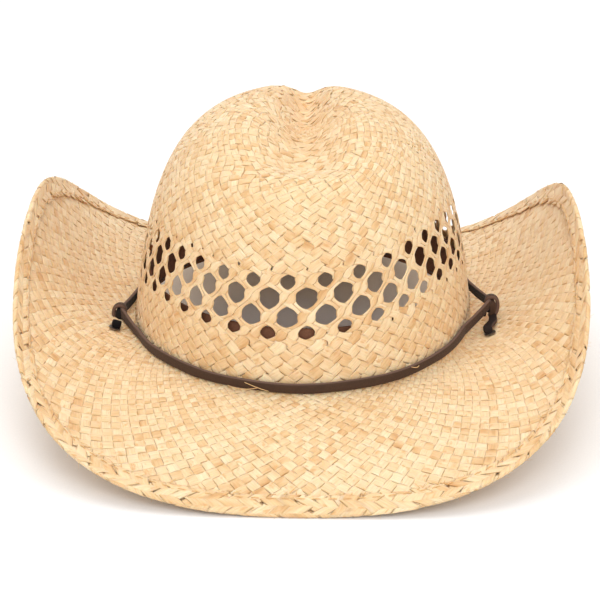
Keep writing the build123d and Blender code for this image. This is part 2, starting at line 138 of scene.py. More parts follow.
def crown_points(t, angle):
    """Outside of the crown: t = 0 at the junction with the brim, 1 at the middle of the top."""
    rise = np.sin(t * math.pi / 2) ** (2.0 / CROWN_SQUARENESS)
    shrink = abs(np.cos(t * math.pi / 2)) ** (2.0 / CROWN_SQUARENESS)
    radius = shrink * oval_radius(angle, HEAD_X - TAPER_X * rise, HEAD_Y - TAPER_Y * rise)
    x, y = radius * np.cos(angle), radius * np.sin(angle)
    z = CROWN_HEIGHT * rise - crease(x, y) * smooth((rise - 0.45) / 0.45)
    return np.stack([x, y, BASE_Z + z], axis=-1)


def wall_radius(angle, height):
    """Plan radius of the lower crown wall at a height above the junction."""
    share = np.clip(height, 0.0, None) / CROWN_HEIGHT
    t = np.arcsin(share ** (CROWN_SQUARENESS / 2.0)) * 2 / math.pi
    points = crown_points(t, angle)
    return np.hypot(points[..., 0], points[..., 1])


def lace_lift(angle):
    """Lower edge of the lace above the junction, a little higher at the right than at the left."""
    return LACE_LIFT + LACE_SIDE_LIFT * abs(np.cos(angle)) ** 6 + LACE_TILT * np.cos(angle) ** 3


def brim_control(angle):
    """The four control points of the brim's upper surface in the vertical plane at an angle."""
    start = np.stack([oval_radius(angle, HEAD_X, HEAD_Y), np.full_like(angle, BASE_Z)], -1)
    side = abs(np.cos(angle)) ** BRIM_ROLL
    squareness = BRIM_SQUARENESS - BRIM_SQUARENESS_STEP * np.sin(angle)
    reach = oval_radius(angle, BRIM_X * (1.0 - BRIM_EGG * np.sin(angle)), BRIM_Y, squareness)
    rise = BRIM_RISE * (1.0 + BRIM_RISE_LEAN * np.sin(angle))
    end = np.stack([reach, BASE_Z - BRIM_DIP + (rise + BRIM_DIP) * side], -1)
    weight = abs(np.cos(angle)) ** SLOPE_BLEND
    root = np.radians(ROOT_SLOPES[0] * (1 - weight) + ROOT_SLOPES[1] * weight)
    edge = np.radians(EDGE_SLOPES[0] * (1 - weight) + EDGE_SLOPES[1] * weight)
    handle = BRIM_FULLNESS * np.linalg.norm(end - start, axis=-1)[..., None]
    near = start + handle * np.stack([np.cos(root), np.sin(root)], -1)
    far = end - handle * np.stack([np.cos(edge), np.sin(edge)], -1)
    return start, near, far, end


class Sheet:
    """A surface as a table: rows at equal lengths along it, columns at equal shares of a turn."""

    def __init__(self, lines, mark=None, soften=0, level=None):
        """level is a height for each column at which all columns shall have come equally far."""
        steps = np.linalg.norm(np.diff(lines, axis=0), axis=-1)
        run = np.vstack([np.zeros(COLUMNS), np.cumsum(steps, axis=0)])
        if level is not None:
            wall = len(lines) // 3
            reached = [np.interp(-level[i], -lines[wall:, i, 2], run[wall:, i]) for i in range(COLUMNS)]
            run *= reached[0] / np.array(reached)
        self.length = run[-1]
        self.mark = run[mark] if mark is not None else run[-1]
        self.rows = np.arange(0.0, self.length.max() + TABLE_MARGIN, ROW_STEP)
        self.points = np.empty((len(self.rows), COLUMNS, 3))
        for column in range(COLUMNS):
            for axis in range(3):
                line = lines[:, column, axis]
                self.points[:, column, axis] = np.interp(self.rows, run[:, column], line)
            past = self.rows - self.length[column]
            ahead = unit(lines[-1, column] - lines[-3, column])
            beyond = past > 0
            self.points[beyond, column] = lines[-1, column] + past[beyond, None] * ahead
        if soften:
            self.soften(soften)
        self.normals = self.find_normals()
        ring = np.roll(self.points, -1, axis=1) - self.points
        self.perimeter = np.linalg.norm(ring, axis=-1).sum(axis=1)

    def soften(self, reach):
        """Rounds the corner near the start of the sheet: the mean of the rows within reach, fading out."""
        rows, stop, fade = 60, 50, 12.0
        head = self.points[:rows]
        padded = np.pad(head, ((reach, reach), (0, 0), (0, 0)), mode="edge")
        total = np.cumsum(np.concatenate([np.zeros_like(padded[:1]), padded]), axis=0)
        width = 2 * reach + 1
        mean = (total[width:] - total[:-width]) / width
        blend = np.clip((stop - np.arange(rows)) / fade, 0.0, 1.0)[:, None, None]
        self.points[:rows] = head * (1 - blend) + mean * blend

    def find_normals(self):
        down = np.gradient(self.points, axis=0)
        around = np.roll(self.points, -1, axis=1) - np.roll(self.points, 1, axis=1)
        normals = np.cross(down, around)
        normals[0] = normals[3].mean(axis=0)   # the crown's first row is one point
        return unit(normals)

    def sample(self, table, run, turn):
        row = np.clip(run / ROW_STEP, 0, len(self.rows) - 1.001)
        column = np.mod(turn, 1.0) * COLUMNS
        i, j = row.astype(int), column.astype(int) % COLUMNS
        u, v = (row - i)[:, None], (column - np.floor(column))[:, None]
        k = (j + 1) % COLUMNS
        upper = table[i, j] * (1 - v) + table[i, k] * v
        lower = table[i + 1, j] * (1 - v) + table[i + 1, k] * v
        return upper * (1 - u) + lower * u

    def at(self, run, turn):
        return self.sample(self.points, run, turn)

    def normal(self, run, turn):
        return self.sample(self.normals, run, turn)

    def mark_at(self, turn):
        column = np.mod(turn, 1.0) * COLUMNS
        return np.interp(column, np.arange(COLUMNS + 1), np.append(self.mark, self.mark[0]))


AZIMUTHS = azimuth(np.arange(COLUMNS) / COLUMNS)


def crown_sheet():
    """The crown from the middle of its top down to behind the lace."""
    share = np.linspace(0.0, 1.0, 1500) ** 1.6
    lines = crown_points((1.0 - share)[:, None], AZIMUTHS[None, :])
    middle = (VENT_HEIGHTS[1] + VENT_HEIGHTS[2]) / 2
    return Sheet(lines, level=BASE_Z + middle + vent_rise(AZIMUTHS))


def brim_sheet():
    """The brim from behind the lace out to its edge, round the wire and back over itself as the hem."""
    start, near, far, end = brim_control(AZIMUTHS)
    behind_lace = lace_lift(AZIMUTHS) + LACE_HEIGHT - 0.8
    nose, bulge_reach = 0.9, 4.0
    span = np.linalg.norm(end - far, axis=-1)
    along = unit(end - far)

    def turned(direction):
        """A direction in the vertical plane, turned up by a quarter."""
        return np.stack([-direction[:, 1], direction[:, 0]], -1)

    def layer(u, offset):
        """Points at a share of the way out, at an offset above the brim's upper surface."""
        u = u[:, None]
        place = (1 - u) ** 3 * start + 3 * (1 - u) ** 2 * u * near + 3 * (1 - u) * u * u * far + u ** 3 * end
        slope = 3 * (1 - u) ** 2 * (near - start) + 6 * (1 - u) * u * (far - near) + 3 * u * u * (end - far)
        return place + turned(unit(slope)) * offset

    def near_edge(from_edge, offset, swelling):
        """Points at a distance from the edge, where the layers swell a little towards the wire."""
        u = 1.0 - from_edge / (3.0 * span) * (1.0 + 0.2 * from_edge / span)
        bulge = smooth(1 - np.broadcast_to(from_edge, COLUMNS) / bulge_reach)
        return layer(u, (offset + swelling * bulge)[:, None])

    lines = []
    for share in np.linspace(0.0, 1.0, 16)[:-1]:
        height = behind_lace * (1 - share)
        lines.append(np.stack([wall_radius(AZIMUTHS, height) - WEAVE_DEPTH, BASE_Z + height], -1))
    for u in np.linspace(0.0, 1.0, 150)[:-14]:
        lines.append(layer(np.full(COLUMNS, u), -WEAVE_DEPTH))
    last_gap = np.linalg.norm(lines[-1] - end, axis=-1)
    for share in np.linspace(0.0, 1.0, 14)[1:]:
        lines.append(near_edge(last_gap * (1 - share) + nose * share, -WEAVE_DEPTH, -0.1))
    centre = end - along * nose - turned(along) * 0.15
    turns = np.linspace(-math.pi / 2, math.pi / 2, 13)[1:-1]
    edge = len(lines) + len(turns) // 2
    for turn in turns:
        lines.append(centre + (along * math.cos(turn) + turned(along) * math.sin(turn)) * nose)
    for from_edge in np.linspace(nose, HEM_WIDTH + TABLE_MARGIN, 28):
        lines.append(near_edge(from_edge, 0.5, 0.25))
    out, up = np.moveaxis(np.stack(lines), -1, 0)
    lines = np.stack([out * np.cos(AZIMUTHS), out * np.sin(AZIMUTHS), up], axis=-1)
    return Sheet(lines, mark=edge, soften=5)


# ---------------------------------------------------------------- meshes

def make_mesh(name, points, faces, attribute=None, values=None):
    """A mesh object from points in millimetres; nothing goes below the floor that the hat stands on."""
    mesh = bpy.data.meshes.new(name)
    points = np.maximum(points, (-np.inf, -np.inf, 0.0)) * MM
    mesh.from_pydata(points.tolist(), [], faces)
    if attribute:
        layer = mesh.attributes.new(attribute, "FLOAT_VECTOR", "POINT")
        layer.data.foreach_set("vector", np.asarray(values, dtype=np.float32).ravel())
    mesh.polygons.foreach_set("use_smooth", [True] * len(mesh.polygons))
    mesh.update()
    piece = bpy.data.objects.new(name, mesh)
    bpy.context.scene.collection.objects.link(piece)
    return piece


class Strips:
    """Collects closed strips, each a chain of equal sections, into one mesh."""

    def __init__(self):
        self.points, self.faces, self.values, self.count = [], [], [], 0

    def add(self, sections, length, across, last):
        """Sections are (steps, corners, 3); the other three are the values that the material reads."""
        steps, corners = sections.shape[:2]
        if steps < 2:
            return
        ids = self.count + np.arange(steps * corners).reshape(steps, corners)
        ahead = np.roll(ids, -1, axis=1)
        quads = np.stack([ids[:-1], ids[1:], ahead[1:], ahead[:-1]], -1).reshape(-1, 4)
        self.faces.extend(quads.tolist())
        self.faces.append(ids[0].tolist())
        self.faces.append(ids[-1][::-1].tolist())
        self.points.append(sections.reshape(-1, 3))
        values = np.broadcast_arrays(length[:, None], across[None, :], last)
        self.values.append(np.stack(values, axis=-1).reshape(-1, 3))
        self.count += steps * corners

    def finish(self, name, attribute):
        points, values = np.concatenate(self.points), np.concatenate(self.values)
        return make_mesh(name, points, self.faces, attribute, values)


# Section of a flat strand: across -1..1, and height in thicknesses; the upper face is crowned and folded.
STRAND_ACROSS = np.array([-1.0, -0.72, -0.25, 0.2, 0.7, 1.0, 0.75, -0.75])
STRAND_HEIGHT = np.array([-0.15, 0.42, 0.5, 0.38, 0.5, -0.15, -0.5, -0.5])


def strand_sections(middle, normal, across, lift):
    """Sections of one flat strand along its middle line; across is as long as the strand is wide."""
    side = across[:, None, :] * STRAND_ACROSS[None, :, None] / 2
    rise = normal[:, None, :] * (STRAND_HEIGHT[None, :, None] * STRAND_THICK + lift[:, None, None])
    return middle[:, None, :] + side + rise


class Weave:
    """Two families of strands that spiral opposite ways over a sheet and pass over and under each other."""

    def __init__(self, sheet, count, index, weights=None, squeeze=None):
        self.sheet, self.count, self.index = sheet, count, index
        self.weights = weights or (lambda run: np.ones((len(run), count)))
        self.squeeze = squeeze or (lambda run: np.zeros_like(run))
        rows = sheet.rows
        grown = self.weights(rows).sum(axis=1) / count
        steps = STRAND_STEPS + VENT_STEPS * self.squeeze(rows)
        self.effort = running_total(np.gradient(index, rows) * grown * steps)

    def stations(self, start, fine):
        """Lengths from a start to the sheet's end with a steady number of sections in each crossing."""
        rows = self.sheet.rows
        low, high = np.interp([start, rows[-1]], rows, self.effort)
        number = max(4, int((high - low) * fine))
        return np.interp(np.linspace(low, high, number), self.effort, rows)

    def edges(self, run):
        """Where each strand of a family starts and ends, in strands of equal width."""
        total = np.cumsum(self.weights(run), axis=1)
        total = np.concatenate([np.zeros((len(run), 1)), total], axis=1)
        return total * self.count / total[:, -1:]

    def wave(self, place, edges):
        """1 over, -1 under: which strand of the other family is crossed at a place, softened."""
        reach = 0.32
        wrapped = np.mod(place, self.count)[:, None]
        total = np.zeros(len(place))
        signs = 1 - 2 * (np.arange(self.count) % 2)
        for turn in (-self.count, 0, self.count):
            low = np.maximum(wrapped - reach, edges[:, :-1] + turn)
            high = np.minimum(wrapped + reach, edges[:, 1:] + turn)
            total += (np.clip(high - low, 0, None) * signs).sum(axis=1)
        return np.sin(np.clip(total / (2 * reach), -1, 1) * math.pi / 2)

    def strand(self, family, number, start, keep, folded=False):
        """What Strips.add takes for one strand, or None where nothing of it is left."""
        fine, flip, swing = (1.5, -1.0, HEM_SWING) if folded else (1.0, 1.0, WEAVE_SWING)
        run = self.stations(start, fine)
        edges = self.edges(run)
        middle = 0.5 * (edges[:, number] + edges[:, number + 1])
        weight = edges[:, number + 1] - edges[:, number]
        index = np.interp(run, self.sheet.rows, self.index)
        way = 1.0 if family == "a" else -1.0
        turned = 1 - 2 * (number % 2)
        other = middle - way * 2 * index
        flare = math.pi / 2 * (other + VENT_LEAN * turned)
        tight = self.squeeze(run) * (1 - CROSSING_SPREAD * abs(np.sin(flare)) ** 3)
        drawn = 1 - PAIR_GAP * tight
        pair = edges[:, number - number % 2 + 1]
        middle = pair + (middle - pair) * drawn
        wander, broad = self.drift[family][number](run), self.breadth[family][number](run)
        turn = (middle - way * index - WEAVE_SHIFT + wander * (1 - tight)) / self.count
        points, normal = self.sheet.at(run, turn), unit(self.sheet.normal(run, turn))
        half = 0.5 / self.count
        gap = self.sheet.at(run, turn + half) - self.sheet.at(run, turn - half)
        normal = normal * flip
        if folded:
            across = gap * (weight * broad * -way)[:, None]
        else:
            ahead = unit(np.gradient(points, axis=0), 1e-9)
            pitch = np.linalg.norm(np.cross(gap, ahead), axis=1)
            across = unit(np.cross(normal, ahead)) * (pitch * weight * broad * drawn)[:, None]
        lift = turned * way * swing * self.wave(other, edges) * (1 - CALM * tight) * flip
        chosen = np.flatnonzero((weight > STRAND_LEAST) & keep(run, turn))
        if len(chosen) < 3:
            return None
        piece = slice(chosen[0], chosen[-1] + 1)
        sections = strand_sections(points[piece], normal[piece], across[piece], lift[piece])
        grain = distances(points[piece]) + GRAIN_STEP * number + (GRAIN_JUMP if family == "b" else 0.0)
        return sections, grain, STRAND_ACROSS, self.tone[family][number]

    def vary(self, drift, breadth, full):
        """Gives every strand its own slow wander, breadth and tone."""
        def wave(amount, middle=0.0):
            phases, rates = rng.uniform(0, 2 * math.pi, (3, 1)), rng.uniform(0.05, 0.28, (3, 1))
            sizes = rng.normal(0, amount, (3, 1))
            return lambda run: middle + (sizes * np.sin(phases + rates * run)).sum(axis=0)

        self.drift, self.breadth, self.tone = {}, {}, {}
        for family in "ab":
            self.drift[family] = [wave(drift / 2) for _ in range(self.count)]
            self.breadth[family] = [wave(breadth / 2, full + rng.normal(0, 0.03)) for _ in range(self.count)]
            self.tone[family] = rng.uniform(0, 1, self.count)


# ---------------------------------------------------------------- the crown's weave

crown = crown_sheet()
brim = brim_sheet()


def crown_pair_starts():
    """Where each pair of strands joins the weave, counted from the middle of the top."""
    pairs, bits = CROWN_STRANDS // 2, 5
    rank = np.array([int(f"{pair:0{bits}b}"[::-1], 2) for pair in range(pairs)])   # spreads them all round
    first, nearest, spread, uneven = 5, 9.0, 64.0, 1.5
    share = np.clip((rank - first) / (pairs - first), 0.0, 1.0)
    jitter = rng.uniform(-uneven, uneven, pairs)
    starts = np.where(rank < first, 0.0, nearest + spread * share + jitter)
    return np.repeat(starts, 2)


PAIR_STARTS = crown_pair_starts()


def crown_weights(run):
    """How far each strand of the crown has grown to its full width."""
    grown = smooth((run[:, None] - PAIR_STARTS[None, :] + 1.0) / STRAND_GROWTH)
    return np.where(PAIR_STARTS[None, :] > 0, np.clip(grown, 1e-4, 1), 1.0)


def vent_rows():
    """Lengths from the middle of the top to the four rows of crossings at the vents, along the front."""
    heights = crown.points[:, 0, 2] - BASE_Z
    wall = crown.rows > 40.0   # past the crease
    return [float(np.interp(-height, -heights[wall], crown.rows[wall])) for height in LATTICE_HEIGHTS]


VENTS = vent_rows()


def crown_index():
    """Row count of the weave down the crown: whole numbers at the vents, closer above and below them."""
    slant, least_ring, edge = 0.72, 6.0, 0.55
    natural = running_total(CROWN_STRANDS / (slant * np.maximum(crown.perimeter, least_ring)))
    start, stop = VENTS[0] - LATTICE_MARGIN, VENTS[-1] + LATTICE_MARGIN
    reach, after = np.interp([start, stop], crown.rows, natural)
    first = 2 * round((reach + 0.6) / 2)
    last = first + 3
    knots_index = [first - edge, first, first + 1, first + 2, last, last + edge]
    index = np.interp(crown.rows, [start, *VENTS, stop], knots_index)
    above, below = crown.rows < start, crown.rows > stop
    index[above] = natural[above] * knots_index[0] / reach
    index[below] = knots_index[-1] + natural[below] - after
    row = index - first
    within = smooth((row + 0.9) / 0.7) * smooth((3.9 - row) / 0.7)
    return index - VENT_STEEPEN * within * np.sin(2 * math.pi * row) / (2 * math.pi), first


CROWN_INDEX, FIRST_ROW = crown_index()


def vent_squeeze(run):
    """How far pairs of strands are drawn together, which opens the vents."""
    return np.interp(np.interp(run, crown.rows, CROWN_INDEX) - FIRST_ROW, SQUEEZE_ROWS, SQUEEZE)


def halves(count):
    """The strands of a family in two halves, each with its number."""
    return (1, range(count // 2)), (2, range(count // 2, count))


def build_crown():
    """The crown as four pieces, two for each family of strands."""
    weave = Weave(crown, CROWN_STRANDS, CROWN_INDEX, crown_weights, vent_squeeze)
    weave.vary(drift=0.09, breadth=0.08, full=1.10)
    top, tuck = 2.5, 1.4

    def keep(run, turn):
        return run < crown.mark_at(turn) - lace_lift(azimuth(turn)) - tuck

    crown.points -= crown.normals * WEAVE_DEPTH
    pieces = []
    for family in "ab":
        for half, numbers in halves(CROWN_STRANDS):
            strips = Strips()
            for number in numbers:
                made = weave.strand(family, number, max(top, PAIR_STARTS[number]), keep)
                if made:
                    strips.add(*made)
            pieces.append(strips.finish(f"crown_weave_{family}{half}", "strand"))
    return pieces


def build_tip():
    """The small plait in the middle of the crown's top, where the first strands start."""
    strips = Strips()
    size, width, steps, swing, fall = 11.0, 2.6, 30, 0.3, 0.006
    middle = crown.points[0].mean(axis=0) + [0.0, 0.0, 0.25]
    along = np.linspace(-size / 2, size / 2, steps)
    normal = np.tile([0.0, 0.0, 1.0], (steps, 1))
    for family in (0, 1):
        for lane in (-1.5, -0.5, 0.5, 1.5):
            across = np.full(steps, lane * width)
            x, y = (along, across) if family == 0 else (across, along)
            over = (1 - 2 * family) * np.cos(math.pi * (along / width + lane + 0.5))
            points = middle + np.stack([x, y, swing * over - fall * (x * x + y * y)], -1)
            side = unit(np.cross(normal, np.gradient(points, axis=0))) * width * 0.96
            sections = strand_sections(points, normal, side, np.zeros(steps))
            strips.add(sections, along + 90 * lane + 700 * family, STRAND_ACROSS, rng.uniform())
    return strips.finish("crown_tip_plait", "strand")


# ---------------------------------------------------------------- the brim's weave and hem

def brim_index():
    """Row count of the weave out along the brim, where the rows get further apart."""
    inner, middle, outer = 5.0, 20.0, 60.0
    at_inner, at_middle, at_outer = np.interp([inner, middle, outer], brim.rows, brim.perimeter)
    ring = np.interp(brim.rows, [inner, outer], [at_inner, at_outer])
    ring += (at_outer - at_middle) / (outer - middle) * np.maximum(brim.rows - outer, 0.0)
    slant = np.interp(brim.rows, [inner, 85.0], [0.77, 0.89])
    return running_total(BRIM_STRANDS / (slant * ring))


def build_brim():
    """The brim in four pieces and its folded hem in two."""
    weave = Weave(brim, BRIM_STRANDS, brim_index())
    weave.vary(drift=0.08, breadth=0.08, full=1.13)
    ragged = {family: rng.normal(0, 0.4, BRIM_STRANDS) for family in "ab"}

    def flat_part(run, turn):
        return run < brim.mark_at(turn) - FLAT_STOP

    def hem_part(length):
        """Tells which part of a strand is in a hem of a length, from before the fold to the raw edge."""
        def inside(run, turn):
            past_edge = run - brim.mark_at(turn)
            return (past_edge > -HEM_START) & (past_edge < length)
        return inside

    pieces, hem_pieces = [], []
    for family in "ab":
        for half, numbers in halves(BRIM_STRANDS):
            strips = Strips()
            for number in numbers:
                strips.add(*weave.strand(family, number, 0.0, flat_part))
            pieces.append(strips.finish(f"brim_weave_{family}{half}", "strand"))
    weave.vary(drift=0.26, breadth=0.20, full=1.02)
    for family in "ab":
        hem = Strips()
        for number in range(BRIM_STRANDS):
            inside = hem_part(HEM_WIDTH + HEM_TUCK + ragged[family][number])
            hem.add(*weave.strand(family, number, 60.0, inside, folded=True))
        hem_pieces.append(hem.finish(f"hem_weave_{family}", "strand"))
    return pieces, hem_pieces


def sweep(path, up, section, strips, width, height, taper=1.0, along_start=0.0):
    """A bar along a path; section is (outward, up) corners from -1 to 1, scaled by half sizes."""
    ahead = unit(np.gradient(path, axis=0), 1e-9)
    side = unit(np.cross(ahead, up), 1e-9)
    up = np.cross(side, ahead)
    scale = np.broadcast_to(taper, len(path))
    out = side[:, None, :] * (section[None, :, 0, None] * (width / 2 * scale)[:, None, None])
    rise = up[:, None, :] * (section[None, :, 1, None] * (height / 2 * scale)[:, None, None])
    strips.add(path[:, None, :] + out + rise, along_start + distances(path), section[:, 0], section[:, 1])


def rounded_section(corners, power):
    turn = 2 * math.pi * np.arange(corners) / corners
    scale = (abs(np.cos(turn)) ** power + abs(np.sin(turn)) ** power) ** (-1.0 / power)
    return np.stack([np.cos(turn) * scale, np.sin(turn) * scale], -1)


ROUND = rounded_section(8, 2.0)
FLAT = rounded_section(16, 5.0)


def curve_through(points, steps=24):
    """A smooth line through points."""
    points = np.asarray(points, dtype=float)
    padded = np.vstack([2 * points[0] - points[1], points, 2 * points[-1] - points[-2]])
    out = []
    for i in range(len(points) - 1):
        a, b, c, d = padded[i:i + 4]
        t = np.linspace(0, 1, steps, endpoint=False)[:, None]
        out.append(0.5 * (2 * b + (c - a) * t + (2 * a - 5 * b + 4 * c - d) * t * t
                          + (3 * b - a - 3 * c + d) * t ** 3))
    out.append(points[-1:])
    return np.vstack(out)


def build_hem_stitches():
    """Short running stitches of straw thread near the inner edge of the hem."""
    strips = Strips()
    count, inward, half_turn, steps = 150, 9.4, 0.0018, 9
    for i in range(count):
        turn = (i + 0.5) / count + rng.normal(0, 0.0003)
        turns = np.linspace(turn - half_turn, turn + half_turn, steps)
        run = brim.mark_at(turns) + inward
        points, normal = brim.at(run, turns), -brim.normal(run, turns)
        arch = np.sin(np.linspace(0, math.pi, steps))[:, None]
        sweep(points + normal * (0.25 + 0.42 * arch), normal, ROUND, strips, 0.5, 0.4, along_start=11.0 * i)
    return strips.finish("hem_thread", "strand")


def past_edge(turn, distance):
    """A point at a distance past the brim's edge along the folded sheet, and the way out of its face."""
    at = np.array([turn])
    run = brim.mark_at(at) + distance
    return brim.at(run, at)[0], -brim.normal(run, at)[0]


def add_raw_ends(strips, count):
    """Short ends that stick out of the raw edge of the hem."""
    for i in range(count):
        turn, distance = rng.uniform(), HEM_WIDTH + rng.normal(0.4, 0.5)
        root, up = past_edge(turn, distance)
        inner = unit(past_edge(turn, distance + 2.0)[0] - root)
        side = np.cross(up, inner)
        reach = rng.uniform(1.5, 4.5)
        away = (inner * rng.uniform(0.2, 1.0) + side * rng.normal(0, 0.8)) * reach
        path = curve_through([root, root + away / 2 + up * 0.5, root + away + up * rng.uniform(0, 1)], 5)
        taper = np.linspace(1, 0.35, len(path))
        sweep(path, up, FLAT[::2], strips, rng.uniform(0.25, 0.9), 0.14, taper, 13.0 * i)


def add_edge_fuzz(strips, count):
    """Hair-thin fibres that stand out from the fold at the brim's edge."""
    for i in range(count):
        root, up = past_edge(rng.uniform(), rng.uniform(-1.5, 2.0))
        side = np.cross(up, [0, 0, 1.0])
        lean = up * rng.uniform(0.5, 1.5) + side * rng.normal(0, 1.2)
        path = curve_through([root, root + lean * 0.8, root + lean * rng.uniform(1.2, 2.2)], 5)
        sweep(path, up, ROUND, strips, 0.16, 0.16, np.linspace(1, 0.3, len(path)), 9.0 * i)


def add_long_fibres(strips):
    """Three long fibres that have come loose in front of the lace."""
    share, bow, ring = np.linspace(0, 1, 6), np.array([0, 0.6, 1.0, 1.1, 0.9, 0.3]), 560.0
    fibres = ((-0.063, 1.5, 15.0, 3.0), (-0.048, 4.5, 11.0, -1.5), (0.093, 6.5, 5.0, 1.0))
    for turn, high, length, bend in fibres:
        angles = azimuth(turn + share * length / ring)
        radius = wall_radius(angles, high) + 2.9 + bow
        rise = BASE_Z + high + bend * share ** 2 - 1.5 * share
        path = curve_through(np.stack([radius * np.cos(angles), radius * np.sin(angles), rise], -1), 6)
        sweep(path, [0, 0, 1.0], ROUND, strips, 0.34, 0.34, along_start=50 * length)


def build_loose_fibres():
    strips = Strips()
    add_raw_ends(strips, 170)
    add_edge_fuzz(strips, 240)
    add_long_fibres(strips)
    return strips.finish("loose_fibres", "strand")


# ---------------------------------------------------------------- lace, knots and ties

def knot_angle(side):
    return FRONT + side * (math.pi / 2 + KNOT_Y / HEAD_Y)


def knot_centre(side):
    """The left knot hangs a little lower than the right one, which stands further out."""
    shift = (2.4, 0.0, 2.4) if side > 0 else (0.0, 0.0, -5.2)
    return np.array([side * (HEAD_X + KNOT_OUT), KNOT_Y, BASE_Z + KNOT_RISE]) + shift


def eyelet_centre(side):
    name = "eyelet_right" if side > 0 else "eyelet_left"
    low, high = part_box(name)
    return np.array([(low[i] + high[i]) / 2 / MM for i in range(3)])


def build_lace(name, start, end, side, seed):
    """One length of suede lace: round the crown above the brim, and straight to the knots at its ends."""
    noise = np.random.default_rng(seed)
    leave, ease = 0.33, 0.3
    angles = np.linspace(start + leave, end - leave, 220)
    height = lace_lift(angles) + LACE_HEIGHT / 2
    height = height + 0.28 * np.sin(5 * angles + noise.uniform(0, 6)) + 0.15 * np.sin(13 * angles)
    radius = wall_radius(angles, height) + ease + LACE_THICK / 2
    path = np.stack([radius * np.cos(angles), radius * np.sin(angles), BASE_Z + height], -1)
    ahead = 1.0 if name == "lace_front" else -1.0
    first = knot_centre(side) + np.array([-side * 0.9, -1.2 * ahead, 1.6])
    last = knot_centre(-side) + np.array([side * 0.9, -1.2 * ahead, 1.6])
    ramp = np.linspace(0, 1, 24, endpoint=False)[:, None]
    sag = np.array([0, 0, 0.5]) * np.sin(math.pi * ramp)
    lead = first * (1 - ramp) + path[0] * ramp - sag
    tail = (last * (1 - ramp) + path[-1] * ramp - sag)[::-1]
    path = np.vstack([lead, path, tail])
    turns = np.arctan2(path[:, 1], path[:, 0])
    lean = 0.10 * np.sin(7 * turns + noise.uniform(0, 6))
    ups = np.stack([lean * np.cos(turns), lean * np.sin(turns), np.ones_like(turns)], -1)
    wobble = 1 + 0.015 * np.sin(23 * turns) + 0.01 * np.sin(41 * turns + 1)
    strips = Strips()
    sweep(path, ups, FLAT, strips, LACE_THICK, 1.05 * LACE_HEIGHT, wobble)
    return strips.finish(name, "ribbon")


def build_knot(side):
    """A half-round loop over the end of the front lace, whose tail hangs inside it."""
    word = "right" if side > 0 else "left"
    centre = knot_centre(side)

    def through(*spots):
        """A line through points that are given outward from the crown, towards the front, and up."""
        return curve_through([centre + np.array([side * out, -ahead, up]) for out, ahead, up in spots], 10)

    strips = Strips()
    loop = through((-1.0, 0.6, -5.0), (1.0, 0.5, -5.4), (2.7, 0.2, -3.2), (3.3, 0.0, 0.2),
                   (2.7, 0.0, 3.4), (0.6, -0.2, 4.9), (-1.7, -0.6, 4.2), (-2.6, -1.4, 1.6))
    if side < 0:
        loop = loop[::-1]
    sweep(loop, [0.0, -1.0, 0.12], FLAT, strips, 1.9, 5.0)
    tail = through((-1.0, 1.0, 3.2), (0.3, 2.4, 1.4), (0.8, 2.8, -1.8), (0.1, 2.7, -5.2))
    sweep(tail, [side, 0.25, 0.1], FLAT, strips, 1.3, 4.4, np.linspace(1.0, 0.6, len(tail)), 80.0)
    stub = through((-0.6, 1.0, -2.4), (-2.8, 1.6, -2.6), (-3.5, 1.8, -5.4))
    sweep(stub, [side * 0.7, 0.6, 0.2], FLAT, strips, 1.2, 2.6, np.linspace(1.0, 0.75, len(stub)), 120.0)
    return strips.finish(f"lace_knot_{word}", "ribbon")


def build_tie(side):
    """The lace's end, which runs down from the loop and goes through the eyelet."""
    word = "right" if side > 0 else "left"
    centre, hole = knot_centre(side), eyelet_centre(side)
    normal = np.array([-side * 0.322, 0.023, 0.946])
    strips = Strips()
    start = centre + np.array([side * 0.9, -1.8, -4.4])
    path = curve_through([
        start, start * 0.6 + hole * 0.4 + np.array([side * 0.5, 0.6, 0.6]),
        hole + normal * 3.4 + np.array([side * 0.1, 2.4, 0.2]), hole + normal * 1.3 + np.array([0, 0.4, 0]),
        hole - normal * 0.8, hole - normal * 5.0,
    ], 10)
    shrink = np.interp(np.arange(len(path)), [0, 14, 26, 34, 50], [0.95, 1.1, 1.15, 0.72, 0.55])
    sweep(path, [side, 0.1, 0.2], FLAT, strips, 1.7, 4.2, shrink, 200.0)
    return strips.finish(f"lace_end_{word}", "ribbon")


# ---------------------------------------------------------------- materials

